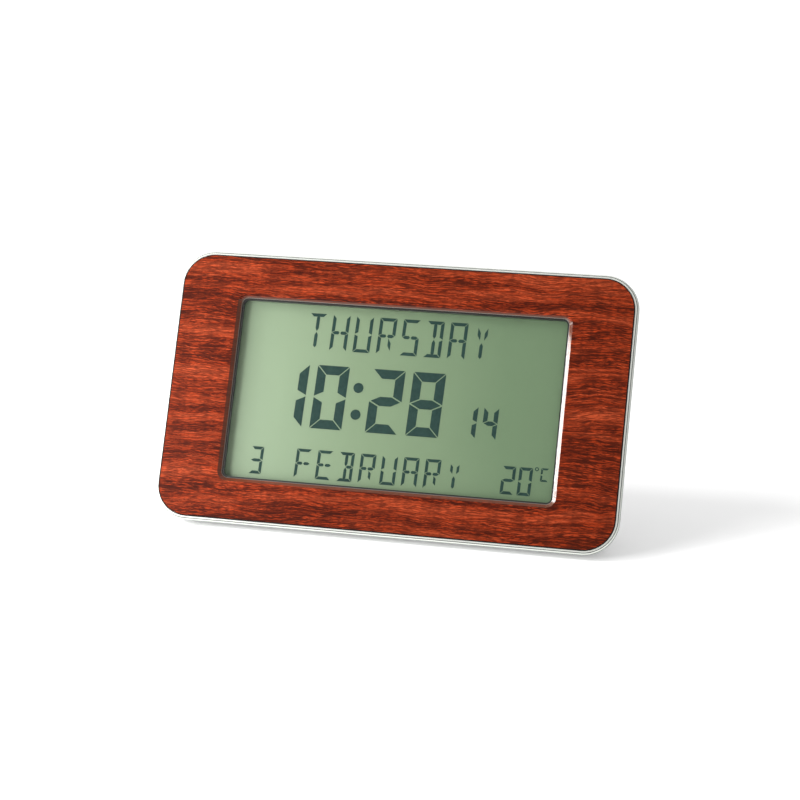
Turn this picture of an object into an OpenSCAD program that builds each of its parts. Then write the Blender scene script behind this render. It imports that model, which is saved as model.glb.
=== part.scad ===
// Desk clock with calendar: a leaning liquid-crystal clock in a thin silver case with a wood-grain face,
// held up by a folding leg at the back.
// Every piece is drawn in the face's own frame, x to the right, y up the face and z towards the viewer,
// with z = 0 on the crest of the silver rim. A depth is a distance behind that crest. stood() then leans
// the clock back and sets it on the table, which is the plane z = 0.

/* [Case] */
// Width of the silver rim, the widest part of the clock
body_w = 190; // [170:1:210]
// Height of the silver rim, measured up the face
body_h = 112; // [100:1:124]
// Radius of the rim's four corners
corner_r = 14.3; // [14:0.1:18]
// Angle by which the face leans back from upright
lean = 29; // [26:0.5:30]
// Thickness of the rear case's wall
wall = 2; // [1.6:0.1:2.4]
// Thickness of the silver rim, front to back
rim_t = 3; // [2.6:0.1:3.4]
// Radius that rounds the rim's outer edges
rim_round = 1.2; // [0.8:0.1:1.3]
// Width of the groove that runs round the rim's front edge
rim_groove = 0.25; // [0.15:0.05:0.35]
// How far the rear case sits inside the rim's outline
band_inset = 1.8; // [1.4:0.1:2.2]
// Depth at which the rear case starts to taper
band_d = 6.5; // [5.8:0.1:7.2]

/* [Face] */
// Silver that shows round the wood panel
rim_w = 1.5; // [1.2:0.1:1.8]
// Gap between the wood panel and the rim
panel_gap = 0.3; // [0.2:0.05:0.4]
// Thickness of the wood panel
panel_t = 2; // [1.8:0.1:2.2]
// How far the wood panel stands proud of the rim
panel_proud = 0.2; // [0.1:0.05:0.4]
// Width of the border left and right of the display window
side_border = 25.7; // [22:0.1:29]
// Height of the border above and below the display window
top_border = 17.15; // [15:0.05:20]
// Corner radius of the display window at the panel's front
window_r = 4.2; // [3.8:0.1:5]
// Width and depth of the bevel round the window
window_bevel = 1.6; // [1.2:0.1:1.7]
// Silver lip that shows inside the bevel
window_lip = 0.6; // [0.4:0.1:0.8]

/* [Display] */
// Thickness of the bezel's plate behind the wood panel
plate_t = 1.6; // [1.4:0.1:2]
// Thickness of the clear lens
lens_t = 1.2; // [1:0.1:1.4]
// How far the display's front glass reaches behind the edge of the opening
glass_cover = 3.4; // [2.8:0.1:4]
// Thickness of each of the display's two glasses
glass_t = 1.1; // [0.7:0.05:1.3]
// Thickness of the polariser film
film_t = 0.2; // [0.15:0.05:0.3]
// Thickness of the holder between the display and the main board
holder_t = 2; // [1.6:0.1:2.4]
// Thickness of both circuit boards
board_t = 1.6; // [1.2:0.1:2]

/* [Folding leg] */
// Width of the leg
leg_w = 44; // [38:1:50]
// Angle between the open leg and upright
leg_slant = 14; // [11:0.5:17]
// Thickness of the leg's plate
leg_t = 3.2; // [2.9:0.1:3.6]
// Distance of the hinge below the top of the rim, measured down the face
hinge_drop = 36; // [33:0.5:39]
// Radius of the steel hinge pin
pin_r = 1.2; // [1:0.05:1.35]

/* [Battery bay] */
// Distance of the bay's middle from the right-hand end of the rim
bay_from_end = 41; // [38:0.5:44]
// Height of the bay's middle above the middle of the face
bay_y = -5; // [-7:0.5:-3]
// Radius of one cell
cell_r = 5.25; // [4.8:0.05:5.8]
// Length of one cell with its nub
cell_l = 44.5; // [40:0.1:48]
// Length of a compressed contact spring
spring_l = 4.7; // [4.2:0.1:5.2]
// Space between the main board and the bay's floor
board_gap = 0.8; // [0.4:0.1:1.6]

/* [Buttons] */
// Distance of the column of buttons from the left-hand end of the rim
keys_from_end = 41; // [38:0.5:44]
// Distance from one button to the next
key_pitch = 14; // [12.5:0.5:15]
// Radius of a button's cap
key_r = 3.5; // [3:0.1:4]
// How far a button moves when it is pressed
key_travel = 0.6; // [0.4:0.1:0.8]
// How far the alarm slider moves
slider_travel = 3; // [2.4:0.2:3.4]

/* [Rubber feet] */
// Thickness of the front feet and of the leg's pad
foot_t = 1; // [0.8:0.1:1.4]
// Radius of a front foot
foot_r = 4; // [3.5:0.1:5]
// Distance of each front foot from the end of the rim
foot_from_end = 25; // [22:1:35]

/* [Hidden] */
$fn = 72;

// Clearances: a sliding fit, a fixed part's seat, a shaft's running fit, and the overrun of a cut
slide_gap = 0.1;
seat_gap = 0.2;
running_gap = 0.05;
cut = 1;

// Depths of the display's stack, front to back
panel_back = panel_t - panel_proud;
plate_back = panel_back + plate_t;
lens_back = plate_back + lens_t;
film_front = lens_back + slide_gap;
glass_front = film_front + film_t;
ledge_d = glass_front + glass_t;
glass_back = ledge_d + glass_t;
reflector_t = 0.3;
reflector_back = glass_back + reflector_t;
board_front = reflector_back + holder_t;
board_back = board_front + board_t;

// The depth of the case follows from the two cells that lie behind the main board
cell_gap = 0.3;
contact_t = 0.4;
door_t = 2;
bay_floor_t = 1.4;
bay_floor_d = board_back + board_gap + bay_floor_t;
back_d = bay_floor_d + 2 * cell_r + cell_gap + door_t;

// The groove's depth, and its place on the rim's rounded edge as an angle up from the side
groove_depth = 0.3;
groove_place = 68;

// The wood panel and its window
panel_w = body_w - 2 * (rim_w + panel_gap);
panel_h = body_h - 2 * (rim_w + panel_gap);
panel_r = corner_r - rim_w - panel_gap;
window_w = body_w - 2 * side_border;
window_h = body_h - 2 * top_border;
sight_w = window_w - 2 * (window_bevel + window_lip);
sight_h = window_h - 2 * (window_bevel + window_lip);
sight_r = window_r - window_bevel - window_lip;

// The display's outline, the wall that locates it and the ledges for the zebra strips
glass_w = sight_w + 2 * glass_cover;
glass_h = sight_h + 2 * glass_cover;
lens_r = 0.6;
locator_wall = 1.2;
locator_outer_r = 1.5;
locator_r = 0.4;
locator_w = glass_w + 2 * seat_gap;
locator_h = glass_h + 2 * seat_gap;
ledge = 2.6;
rear_glass_h = glass_h - 2 * ledge;
strip_w = 1.8;
strip_margin = 10;
strip_l = glass_w - 2 * strip_margin;
film_margin = 1.5;
holder_rim = 5;

// The bezel's skirt, which enters the rear case
skirt_t = 1.5;
skirt_gap = 0.15;
skirt_inset = band_inset + wall + skirt_gap;
skirt_d = band_d - wall * tan(lean / 2) - skirt_gap;

// The rear case's tapered side is parallel to the table when the clock leans on its leg
band_r = corner_r - band_inset;
back_round = min(1.5, (band_r - (back_d - band_d) * tan(lean)) * 0.6 + 0.6);
back_arc_d = back_d - back_round;
back_arc_r = band_r - (back_arc_d - band_d) * tan(lean) - back_round / cos(lean);
inner_kink_d = band_d - wall * tan(lean / 2);
inner_back_d = back_d - wall;
inner_back_r = band_r - (inner_back_d - band_d) * tan(lean) - wall / cos(lean);
inner_top_y = body_h / 2 - corner_r + inner_back_r;

// Posts and screws
post_r = 2.6;
board_post_inset = 9;
board_post_x = glass_w / 2 - board_post_inset;
board_post_y = locator_h / 2 + locator_wall + post_r - 0.5;
board_screw_r = 1;
board_screw_l = 5;
case_post_r = 3.2;
board_w = glass_w + 2;
case_post_x = board_w / 2 + case_post_r + 0.5;
case_post_drop = 20;
case_post_y = body_h / 2 - case_post_drop;
case_joint_d = board_back + 1;
case_screw_r = 1.15;
case_seat_t = 4;
case_head_d = case_joint_d + case_seat_t;
case_screw_l = 9.5;
head_r = 2.5;
head_h = 1.6;
cross_w = 0.7;
counterbore_r = head_r + 0.4;
counterbore_wall = 1.2;
tip_gap = 0.5;
screw_hole_gap = 0.3;

// The main board
board_r = 2;
board_h = 2 * (board_post_y + post_r);
chip_x = 18;
chip_drop = 18;
chip_y = board_h / 2 - chip_drop;
chip_r = 7;
chip_h = 1.8;
crystal_x = -14;
crystal_drop = 16;
crystal_y = board_h / 2 - crystal_drop;
crystal_r = 1;
crystal_l = 6;
lead_r = 0.15;
lead_l = 2.4;
resistor_w = 1.6;
resistor_l = 3.2;
resistor_h = 0.8;
resistor_pitch = 4;
resistor_drop = 29;
resistor_y = board_h / 2 - resistor_drop;
capacitor_r = 2;
capacitor_h = 4.5;
capacitor_x = -24;

// The folding leg, its hinge and the pocket that it folds into
hinge_y = body_h / 2 - hinge_drop;
hinge_d = back_d - leg_t;
barrel_r = 2 * pin_r;
heel_reach = leg_t - 0.25;
heel_y = 1.5;
pocket_gap = 0.4;
pocket_wall = 2.5;
pocket_floor_t = 1.6;
fold_gap = 0.3;
pocket_floor_d = hinge_d - barrel_r - fold_gap;
pocket_top = heel_reach + running_gap;
pocket_w = leg_w + 2 * pocket_gap;
toe_r = 6;
pad_w = leg_w - 2 * toe_r - 2;
leg_panel_depth = 0.6;
leg_panel_border = 5;
leg_panel_r = 4;
leg_scoop_r = 6;
leg_scoop_depth = 2.5;
toe_gap = 0.5;
leg_rib_h = 1.8;
leg_rib_t = 1.4;
leg_rib_end = 10;
leg_rib_top = 6;
pin_l = pocket_w + 2 * (pocket_wall - seat_gap);

// Where the clock stands: the middle of the face above the table, and the hinge behind it
centre_z = (body_h / 2 - band_inset) * cos(lean) + band_d * sin(lean) + foot_t;
hinge_height = hinge_y * cos(lean) - hinge_d * sin(lean) + centre_z;
leg_l = hinge_height / cos(leg_slant);
leg_open = lean + leg_slant;
hinge_back = hinge_y * sin(lean) + hinge_d * cos(lean);
toe_l = (hinge_height + leg_t * sin(leg_slant)) / cos(leg_slant);
back_reach = hinge_back + toe_l * sin(leg_slant) + leg_t * cos(leg_slant);
front_reach = (body_h / 2 - rim_round) * sin(lean) - rim_round * cos(lean) + rim_round;
centre_y = (front_reach - back_reach) / 2;
taper_start_y = -(body_h / 2 - band_inset) * sin(lean) + band_d * cos(lean);
foot_x = body_w / 2 - foot_from_end;
foot_y = centre_y + taper_start_y + foot_r + 1.5;

// The battery bay and its door
bay_x = body_w / 2 - bay_from_end;
bay_w = 4 * cell_r + 3 * cell_gap;
bay_l = cell_l + spring_l + 2 * contact_t;
bay_wall = 2.8;
cell_dx = cell_r + cell_gap / 2;
cell_d = bay_floor_d + cell_r;
door_ledge = 1.3;
door_w = bay_w + 2 * door_ledge;
door_l = bay_l + 2 * door_ledge;
door_tab_w = 4;
door_tab_t = 1.1;
door_tab_out = 1.6;
door_tab_in = 0.6;
door_slot_in = 3.1;
door_slot_out = 2.3;
door_slot_gap = 0.9;
door_scoop_r = 5;
door_scoop_depth = 2;
grip_pitch = 1.8;
grip_w = 0.8;
grip_depth = 0.5;
door_tongue_w = 14;
door_tongue_l = 10;
door_slit = 0.8;
door_tab_x = bay_w / 2 - door_tab_w / 2 - 0.4;
nub_r = 1.9;
nub_h = 0.9;
contact_w = 8.6;
contact_front = cell_d - 4.2;
contact_back = cell_d + 3.2;
spring_wire_r = 0.3;
spring_wide_r = 3.6;
spring_narrow_r = 2.2;
spring_turns = 3;
wire_r = 0.6;

// The buttons, the alarm slider and their board
key_proud = 0.8;
flange_r = key_r + 1;
flange_t = 0.8;
key_inner_d = inner_back_d - slide_gap;
tact_h = 3.5;
plunger_h = 0.8;
plunger_r = 1.75;
tact_w = 6;
key_board_back = key_inner_d - flange_t - key_travel - slide_gap - plunger_h - tact_h;
key_board_w = 16;
key_board_r = 1.5;
key_x = body_w / 2 - keys_from_end;
key_top_y = 2 * key_pitch - 5;
slider_drop = 13;
slider_y = key_top_y - 3 * key_pitch - slider_drop;
key_board_margin = 8;
key_board_top = key_top_y + key_board_margin;
key_board_foot = slider_y - key_board_margin + 1.5;
key_boss_r = 2.2;
key_boss_out = 5.2;
dish_r = 14;
dish_sag = 0.3;
slider_w = 3.2;
slider_l = 4.2;
slider_flange_w = 5.4;
slider_groove = 0.4;
switch_w = 4.4;
switch_l = 5.6 + slider_travel;
switch_h = 3.6;
lever_w = 1.5;
lever_depth = 1;
lever_seat = 0.3;
pinhole_r = 0.8;
pinhole_out = 11;
cable_w = 8;
cable_t = 0.6;

// The buzzer, its holes and the air slots of the temperature sensor
buzzer_y = (hinge_y + pocket_top + pocket_wall + inner_top_y) / 2;
buzzer_r = 6.75;
buzzer_wall = 1.2;
buzzer_wire_r = 0.45;
sound_hole_r = 0.75;
sound_ring_r = 3.2;
buzzer_t = 1.6;
buzzer_back_d = inner_back_d - 2;
buzzer_face_d = buzzer_back_d - buzzer_t;
vent_x = -32;
vent_y = inner_top_y - 9;
vent_w = 1.2;
vent_l = 9;
vent_pitch = 2.6;
bead_r = 1.5;
bead_d = inner_back_d - 4;
bead_lead_r = 0.25;

function arc(x, y, r, from, to, steps = 6) =
    [for (i = [0:steps]) let (a = from + (to - from) * i / steps) [x + r * cos(a), y + r * sin(a)]];

// The points of a round tube along a path, ring after ring, and the triangles that close it
function unit(v) = v / norm(v);
function heading(path, i) = unit(path[min(i + 1, len(path) - 1)] - path[max(i - 1, 0)]);
function ring(path, i, r, sides, up) =
    let (t = heading(path, i), a = unit(cross(t, up)), b = cross(t, a))
    [for (k = [0:sides - 1]) path[i] + r * (cos(360 * k / sides) * a + sin(360 * k / sides) * b)];
function tube_faces(rings, sides) = concat(
    [for (k = [1:sides - 2]) [0, k, k + 1]],
    [for (i = [0:rings - 2], k = [0:sides - 1], half = [0, 1])
        let (a = i * sides + k, b = i * sides + (k + 1) % sides)
        half == 0 ? [a, a + sides, b] : [b, a + sides, b + sides]],
    [for (k = [1:sides - 2]) let (o = (rings - 1) * sides) [o, o + k + 1, o + k]]
);
module tube(path, r, sides = 6, up = [0.1, 0.2, 1]) {
    points = [for (i = [0:len(path) - 1]) each ring(path, i, r, sides, up)];
    polyhedron(points, tube_faces(len(path), sides), convexity = 8);
}

// A rounded rectangle, and a plate of that outline between two depths
module rounded_rect(w, h, r) {
    polygon(concat(
        arc(w / 2 - r, h / 2 - r, r, 0, 90, 10), arc(r - w / 2, h / 2 - r, r, 90, 180, 10),
        arc(r - w / 2, r - h / 2, r, 180, 270, 10), arc(w / 2 - r, r - h / 2, r, 270, 360, 10)));
}
module plate(w, h, r, front, back) {
    translate([0, 0, -back]) linear_extrude(back - front) rounded_rect(w, h, r);
}
module block(w, h, front, back) {
    translate([-w / 2, -h / 2, -back]) cube([w, h, back - front]);
}
module rod(r, front, back) {
    translate([0, 0, -back]) cylinder(r = r, h = back - front);
}

// A body whose outline is a rounded rectangle and whose edge has the child's profile. The profile is drawn
// outwards from the corner's centre line, and reaches from one depth to another on that line.
module edged_body(w, h, r, front, back) {
    for (q = [0:3]) rotate(90 * q) {
        across = q % 2 == 0 ? w : h;
        along = q % 2 == 0 ? h : w;
        translate([across / 2 - r, along / 2 - r, 0]) {
            rotate_extrude(angle = 90) children();
            rotate([90, 0, 0]) linear_extrude(along - 2 * r) children();
        }
    }
    block(w - 2 * r, h - 2 * r, front, back);
}

// Screw places
module at_board_posts() {
    for (x = [-1, 0, 1], y = [-1, 1]) translate([x * board_post_x, y * board_post_y, 0]) children();
}
module at_case_posts() {
    for (x = [-1, 1], y = [-1, 1]) translate([x * case_post_x, y * case_post_y, 0]) children();
}
module at_key_bosses() {
    for (y = [key_board_top - 3, slider_y + 6.8]) translate([-key_x - key_boss_out, y, 0]) children();
}
// A cross-head screw that points to the front, with the underside of its head at a depth
module screw(shank_r, l, under_head) {
    crown = head_h * 0.4;
    head_back = under_head + head_h;
    difference() {
        union() {
            rod(shank_r, under_head - l, under_head);
            rod(head_r, under_head, head_back - crown);
            translate([0, 0, -head_back]) cylinder(r1 = head_r * 0.72, r2 = head_r, h = crown);
        }
        for (a = [0, 90]) rotate(a) block(head_r * 1.15, cross_w, head_back - head_h * 0.7, head_back + cut);
    }
}

// Sets a piece drawn in the face's frame on the table
module stood() {
    translate([0, centre_y, centre_z]) rotate([90 - lean, 0, 0]) children();
}
// Swings a piece of the leg, drawn folded with the hinge at the origin, out to its stop
module swung() {
    stood() translate([0, hinge_y, -hinge_d]) rotate([leg_open, 0, 0]) children();
}

// ---- The front: silver bezel, wood panel and lens
module bezel_edge() {
    edge_x = corner_r - rim_round;
    groove_bottom = rim_round - groove_depth;
    half_groove = 90 * rim_groove / (PI * rim_round);
    polygon(concat([[0, -rim_t]],
        arc(edge_x, rim_round - rim_t, rim_round, -90, 0),
        arc(edge_x, -rim_round, rim_round, 0, groove_place - half_groove),
        [[edge_x + groove_bottom * cos(groove_place), groove_bottom * sin(groove_place) - rim_round]],
        arc(edge_x, -rim_round, rim_round, groove_place + half_groove, 90, 2), [[0, 0]]));
}
// The rim's outline drawn in by an inset, and the outside of the wall that locates the display
module bezel_plate(inset, front, back) {
    plate(body_w - 2 * inset, body_h - 2 * inset, corner_r - inset, front, back);
}
module locator(front, back) {
    plate(locator_w + 2 * locator_wall, locator_h + 2 * locator_wall, locator_outer_r, front, back);
}
module front_bezel() {
    color("silver") stood() difference() {
        union() {
            edged_body(body_w, body_h, corner_r, 0, rim_t) bezel_edge();
            bezel_plate(skirt_inset, rim_t / 2, skirt_d);
            locator(rim_t, board_front - 0.4);
            at_board_posts() rod(post_r, rim_t, board_front);
            at_case_posts() rod(case_post_r, rim_t, case_joint_d);
        }
        plate(panel_w + 2 * panel_gap, panel_h + 2 * panel_gap, panel_r + panel_gap, -cut, panel_back);
        plate(sight_w, sight_h, sight_r, 0, plate_back + cut);
        plate(locator_w, locator_h, locator_r, plate_back, board_front + cut);
        // The space between the skirt and the wall that locates the display
        difference() {
            bezel_plate(skirt_inset + skirt_t, plate_back, skirt_d + cut);
            locator(rim_t, board_front);
            at_board_posts() rod(post_r, rim_t, board_front);
            at_case_posts() rod(case_post_r, rim_t, case_joint_d);
        }
        at_board_posts()
            rod(board_screw_r + running_gap, board_back - board_screw_l - tip_gap, board_front + cut);
        at_case_posts()
            rod(case_screw_r + running_gap, case_head_d - case_screw_l - tip_gap, case_joint_d + cut);
    }
}
module window_cut() {
    polygon([[0, -panel_t - cut], [window_r - window_bevel, -panel_t - cut],
        [window_r - window_bevel, panel_proud - window_bevel], [window_r, panel_proud],
        [window_r, panel_proud + cut], [0, panel_proud + cut]]);
}
module wood_panel() {
    color("sienna") stood() difference() {
        plate(panel_w, panel_h, panel_r, -panel_proud, panel_back);
        edged_body(window_w, window_h, window_r, -panel_proud - cut, panel_t + cut) window_cut();
    }
}
module display_lens() {
    color("lightcyan", 0.4) stood() plate(glass_w, glass_h, lens_r, plate_back, lens_back);
}

// ---- The display: polariser, two glasses, reflector, holder and contact strips
module front_polariser() {
    color("darkseagreen") stood()
        block(glass_w - 2 * film_margin, glass_h - 2 * film_margin, film_front, glass_front);
}
module front_glass() {
    color("darkseagreen") stood() block(glass_w, glass_h, glass_front, ledge_d);
}
// Shorter than the front glass, so that the contact strips reach the ledges left free
module rear_glass() {
    color("darkseagreen") stood() block(glass_w, rear_glass_h, ledge_d, glass_back);
}
module rear_reflector() {
    color("gainsboro") stood()
        block(glass_w - 2 * film_margin, rear_glass_h - 2 * film_margin, glass_back, reflector_back);
}
module display_holder() {
    holder_h = rear_glass_h - 2 * seat_gap;
    color("white") stood() difference() {
        block(glass_w, holder_h, reflector_back, board_front);
        block(glass_w - 2 * holder_rim, holder_h - 2 * holder_rim, 0, board_front + cut);
    }
}
module zebra_strips() {
    color("dimgray") stood() for (y = [-1, 1])
        translate([0, y * (glass_h / 2 - ledge / 2), 0]) block(strip_l, strip_w, ledge_d, board_front);
}

// ---- The main board and what is soldered to it
module main_board() {
    color("seagreen") stood() difference() {
        plate(board_w, board_h, board_r, board_front, board_back);
        at_board_posts() rod(board_screw_r + screw_hole_gap, 0, board_back + cut);
    }
}
module main_board_screws() {
    color("silver") stood() at_board_posts() screw(board_screw_r, board_screw_l, board_back);
}
// A low dome of black resin over the clock's chip
module chip_blob() {
    ball_r = (chip_r * chip_r + chip_h * chip_h) / (2 * chip_h);
    color("black") stood() translate([chip_x, chip_y, -board_back]) mirror([0, 0, 1]) rotate_extrude()
        polygon(concat([[0, 0]], arc(0, chip_h - ball_r, ball_r, acos(chip_r / ball_r), 90)));
}
module quartz_crystal() {
    color("silver") stood() translate([crystal_x, crystal_y, -board_back - crystal_r]) rotate([0, 90, 0]) {
        cylinder(r = crystal_r, h = crystal_l);
        for (y = [-1, 1]) translate([0, y * crystal_r * 0.4, crystal_l]) cylinder(r = lead_r, h = lead_l);
    }
}
module board_components() {
    color("tan") stood() {
        for (i = [-2:3]) translate([resistor_pitch * i, resistor_y, 0])
            block(resistor_w, resistor_l, board_back, board_back + resistor_h);
        for (i = [0:3]) translate([chip_x + resistor_pitch * (i + 1), chip_y + chip_r + 1.5, 0])
            block(resistor_w, resistor_w, board_back, board_back + resistor_h);
        translate([capacitor_x, resistor_y, 0]) rod(capacitor_r, board_back, board_back + capacitor_h);
    }
}
// A bead on two leads, behind the air slots
module temperature_sensor() {
    color("darkred") stood() translate([vent_x, vent_y, 0]) {
        translate([0, 0, -bead_d]) sphere(r = bead_r);
        for (x = [-1, 1]) translate([x * bead_r / 2, 0, 0]) rod(bead_lead_r, board_back, bead_d - bead_r / 2);
    }
}
// Flat cable from the main board to the button board, bent twice
module ribbon_cable() {
    main_x = -key_x + 17;
    key_end_x = -key_x + 5;
    mid = (board_back + key_board_back - board_t) / 2;
    color("lightgray") stood() translate([0, 2 + cable_w / 2, 0]) rotate([90, 0, 0]) linear_extrude(cable_w)
        polygon([[main_x, -board_back], [main_x, -mid], [key_end_x + cable_t, -mid],
            [key_end_x + cable_t, board_t - key_board_back], [key_end_x, board_t - key_board_back],
            [key_end_x, cable_t - mid], [main_x - cable_t, cable_t - mid], [main_x - cable_t, -board_back]]);
}

// ---- The buttons, the alarm slider and their board
module at_key(i) {
    translate([-key_x, key_top_y - i * key_pitch, 0]) children();
}
module button_board() {
    color("seagreen") stood() difference() {
        translate([-key_x, (key_board_top + key_board_foot) / 2, 0])
            plate(key_board_w, key_board_top - key_board_foot, key_board_r,
                key_board_back - board_t, key_board_back);
        at_key_bosses() rod(board_screw_r + screw_hole_gap, 0, back_d);
    }
}
module button_board_screws() {
    color("silver") stood() at_key_bosses() translate([0, 0, -2 * key_board_back + board_t]) mirror([0, 0, 1])
        screw(board_screw_r, board_screw_l, key_board_back);
}
module tact_switches() {
    color("darkslategray") stood() for (i = [0:3]) at_key(i) {
        block(tact_w, tact_w, key_board_back, key_board_back + tact_h);
        rod(plunger_r, key_board_back, key_board_back + tact_h + plunger_h);
    }
}
module slide_switch() {
    color("silver") stood() translate([-key_x, slider_y, 0]) difference() {
        block(switch_w, switch_l, key_board_back, key_board_back + switch_h);
        block(lever_w + 2 * slide_gap, slider_travel + lever_w + 2 * slide_gap,
            key_board_back + switch_h - lever_depth - seat_gap, key_board_back + switch_h + cut);
    }
}
module slider_lever() {
    color("black") stood() translate([-key_x, slider_y + slider_travel / 2, 0])
        block(lever_w, lever_w, key_board_back + switch_h - lever_depth, key_inner_d - flange_t + lever_seat);
}
module slider_knob() {
    flange_l = slider_l + 2 * slider_travel + 1;
    color("gray") stood() translate([-key_x, slider_y + slider_travel / 2, 0]) difference() {
        union() {
            block(slider_flange_w, flange_l, key_inner_d - flange_t, key_inner_d);
            block(slider_w, slider_l, key_inner_d, back_d + key_proud);
        }
        block(lever_w + 2 * slide_gap, lever_w + 2 * slide_gap, 0,
            key_inner_d - flange_t + lever_seat + slide_gap);
        for (i = [-1:1]) translate([0, 3 * slider_groove * i, 0])
            block(slider_w + cut, slider_groove,
                back_d + key_proud - slider_groove, back_d + key_proud + cut);
    }
}
// A round cap with a dished top and a flange that keeps it in the case
module key_cap(i) {
    color("silver") stood() at_key(i) difference() {
        union() {
            rod(flange_r, key_inner_d - flange_t, key_inner_d);
            rod(key_r, key_inner_d - flange_t, back_d + key_proud);
        }
        translate([0, 0, -back_d - key_proud - dish_r + dish_sag]) sphere(r = dish_r);
    }
}
module mode_button() key_cap(0);
module set_button() key_cap(1);
module up_button() key_cap(2);
module down_button() key_cap(3);

// ---- The buzzer
module piezo_buzzer() {
    color("goldenrod") stood() translate([0, buzzer_y, 0]) {
        rod(buzzer_r, buzzer_back_d - buzzer_t / 2, buzzer_back_d);
        rod(buzzer_r - 2, buzzer_face_d, buzzer_back_d - buzzer_t / 2);
    }
}
module buzzer_wires() {
    for (x = [-1, 1] * 1.6) color(x < 0 ? "red" : "black") stood()
        tube([[x, buzzer_y, -buzzer_face_d], [x, buzzer_y, 1 - buzzer_face_d],
            [x, buzzer_y - 1, 3 - buzzer_face_d], [x, buzzer_y - 3, -(buzzer_face_d + board_back) / 2],
            [x, buzzer_y - 5, -board_back - 3], [x, buzzer_y - 6, -board_back - 1],
            [x, buzzer_y - 6, -board_back]], buzzer_wire_r);
}

// ---- The rear case
module case_edge() {
    polygon(concat([[0, -rim_t], [band_r, -rim_t], [band_r, -band_d]],
        arc(back_arc_r, -back_arc_d, back_round, -lean, -90), [[0, -back_d]]));
}
module case_hollow() {
    polygon([[0, cut - rim_t], [band_r - wall, cut - rim_t], [band_r - wall, -inner_kink_d],
        [inner_back_r, -inner_back_d], [0, -inner_back_d]]);
}
// The pocket that the leg folds into, grown by a wall
module leg_pocket(grow, front, back) {
    foot = hinge_y - toe_l - toe_gap;
    top = hinge_y + pocket_top;
    translate([0, (foot + top) / 2, 0]) block(pocket_w + 2 * grow, top - foot + 2 * grow, front, back);
}
module at_bay() {
    translate([bay_x, bay_y, 0]) children();
}
module rear_case() {
    case_w = body_w - 2 * band_inset;
    case_h = body_h - 2 * band_inset;
    color("lightgray") stood() difference() {
        union() {
            difference() {
                edged_body(case_w, case_h, band_r, rim_t, back_d) case_edge();
                edged_body(case_w, case_h, band_r, rim_t - cut, inner_back_d) case_hollow();
            }
            intersection() {
                leg_pocket(pocket_wall, pocket_floor_d - pocket_floor_t, back_d - wall / 2);
                edged_body(case_w, case_h, band_r, rim_t, back_d) case_edge();
            }
            at_bay() block(bay_w + 2 * bay_wall, bay_l + 2 * bay_wall,
                bay_floor_d - bay_floor_t, back_d - wall / 2);
            at_case_posts() rod(counterbore_r + counterbore_wall, case_joint_d, back_d - wall / 2);
            at_key_bosses() rod(key_boss_r, key_board_back, back_d - wall / 2);
            translate([0, buzzer_y, 0])
                rod(buzzer_r + buzzer_wall, buzzer_back_d - buzzer_t / 2, back_d - wall / 2);
        }
        // The leg's pocket, the bores of its hinge pin and a scoop for a fingertip
        leg_pocket(0, pocket_floor_d, back_d + cut);
        translate([-pin_l / 2 - slide_gap, hinge_y, -hinge_d]) rotate([0, 90, 0])
            cylinder(r = pin_r + running_gap, h = pin_l + 2 * slide_gap);
        translate([leg_w / 2, hinge_y - leg_l + 2 * leg_scoop_r, leg_scoop_depth - leg_scoop_r - back_d])
            sphere(r = leg_scoop_r);
        // The battery bay, the door's seat, the slots for the door's tabs and a scoop to lift the door
        at_bay() {
            block(bay_w, bay_l, bay_floor_d, back_d + cut);
            block(door_w + 2 * seat_gap, door_l + 2 * seat_gap, back_d - door_t, back_d + cut);
            for (x = [-1, 1]) translate([x * door_tab_x, -door_l / 2 + (door_slot_in - door_slot_out) / 2, 0])
                block(door_tab_w + 2 * seat_gap, door_slot_in + door_slot_out,
                    back_d - door_t - door_tab_t - door_slot_gap, back_d - door_t);
            translate([0, door_l / 2 + 1, door_scoop_depth - door_scoop_r - back_d]) sphere(r = door_scoop_r);
        }
        // Screw holes
        at_case_posts() {
            rod(case_screw_r + screw_hole_gap, 0, back_d);
            rod(counterbore_r, case_head_d, back_d + cut);
        }
        at_key_bosses()
            rod(board_screw_r + running_gap, 0, key_board_back + board_screw_l - board_t + tip_gap);
        // Buttons, slider, reset pinhole
        for (i = [0:3]) at_key(i) rod(key_r + slide_gap, key_inner_d, back_d + cut);
        translate([-key_x, slider_y, 0]) block(slider_w + 2 * slide_gap,
            slider_l + slider_travel + 2 * slide_gap, key_inner_d, back_d + cut);
        translate([pinhole_out - key_x, slider_y, 0]) rod(pinhole_r, key_inner_d, back_d + cut);
        // The buzzer's seat and sound holes
        translate([0, buzzer_y, 0]) {
            rod(buzzer_r, 0, buzzer_back_d);
            rod(buzzer_r - buzzer_wall, 0, inner_back_d);
            rod(sound_hole_r, 0, back_d + cut);
            for (a = [0:60:300]) rotate(a) translate([sound_ring_r, 0, 0]) rod(sound_hole_r, 0, back_d + cut);
        }
        // Air slots of the temperature sensor
        for (i = [-2:2]) translate([vent_x + vent_pitch * i, vent_y, 0])
            block(vent_w, vent_l, key_inner_d, back_d + cut);
    }
}
module case_screws() {
    color("silver") stood() at_case_posts() screw(case_screw_r, case_screw_l, case_head_d);
}

// ---- The batteries: two cells in series, one up and one down
module battery_contacts() {
    color("silver") stood() at_bay() for (end = [-1, 1]) for (side = [-1, 1])
        translate([side * cell_dx, end * (bay_l / 2 - contact_t / 2), 0])
            block(contact_w, contact_t, contact_front, contact_back);
}
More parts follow.
